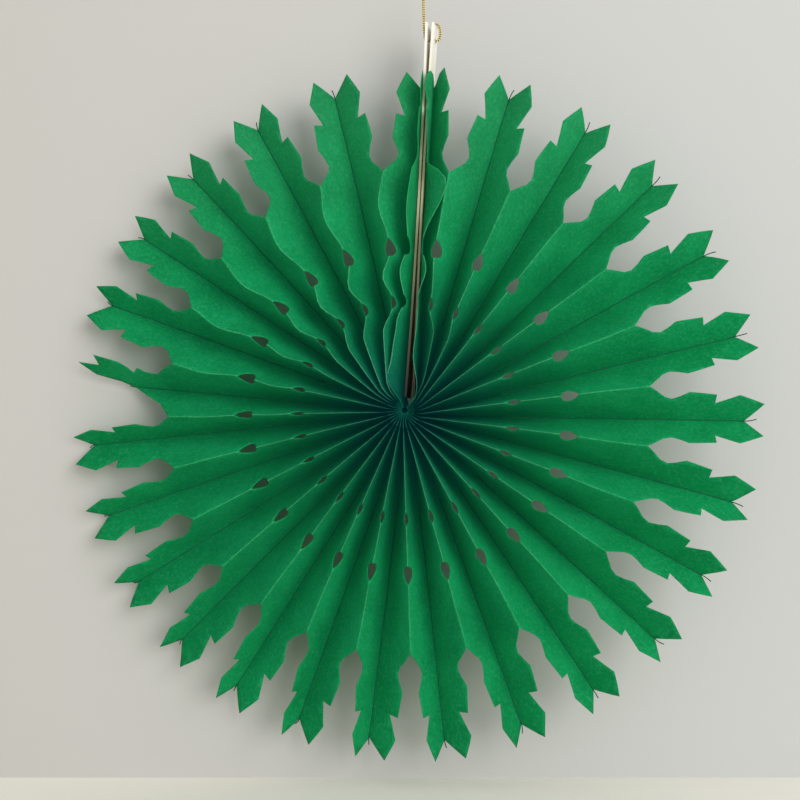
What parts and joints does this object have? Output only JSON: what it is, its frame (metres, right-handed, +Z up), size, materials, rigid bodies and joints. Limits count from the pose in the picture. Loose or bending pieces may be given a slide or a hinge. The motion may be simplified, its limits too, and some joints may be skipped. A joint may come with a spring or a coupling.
{
  "type": "paper_fan_medallion",
  "caption": "Green paper fan medallion, pleated and die-cut with a pointed rim and punched tear-drops, glued to card strips and hung by a gold cord",
  "frame": {"origin": "the knot that ties the two ends of the hanging cord, above the fan", "axes": "+Z is up as the fan hangs, +X is to the right for someone facing it, and the ridge side of the fan faces -Y"},
  "size_m": [0.2546, 0.0238, 0.2872],
  "materials": {
    "green_paper": "matte, fibrous",
    "cream_card": "matte",
    "dark_thread": "matte",
    "gold_cord": "twisted, slightly glossy"
  },
  "bodies": {
    "root": {"pleated_paper": "green_paper", "card_strip_left": "cream_card", "card_strip_right": "cream_card", "valley_threads": "dark_thread", "hanging_cord": "gold_cord", "cord_knot": "gold_cord"}
  },
  "joints": []
}
